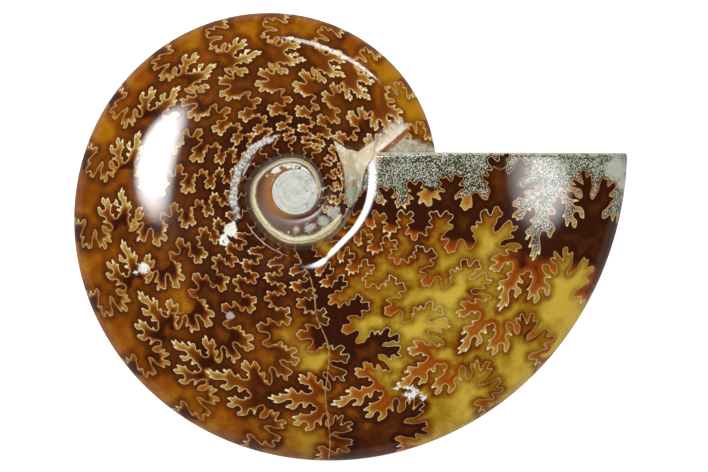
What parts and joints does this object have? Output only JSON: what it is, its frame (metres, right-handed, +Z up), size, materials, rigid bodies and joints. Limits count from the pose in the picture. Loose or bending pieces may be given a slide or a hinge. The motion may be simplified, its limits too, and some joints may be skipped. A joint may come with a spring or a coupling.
{
  "type": "polished cleoniceras ammonite fossil",
  "caption": "Polished fossil shell of a flat-coiled ammonite, lying on its flank, with leaf-shaped suture lines, a small stepped navel and a flat ground end.",
  "frame": {"origin": "centre of the bounding box at the floor that the fossil lies on", "axes": "+Z up from the floor, +X from the coil towards the ground end of the last turn, +Y the way that end faces"},
  "size_m": [0.1108, 0.0896, 0.0276],
  "materials": {
    "fossil": "polished mineral replacement, amber to dark brown chambers with cream suture lines, high gloss"
  },
  "bodies": {
    "root": {"ammonite": "fossil"}
  },
  "joints": []
}
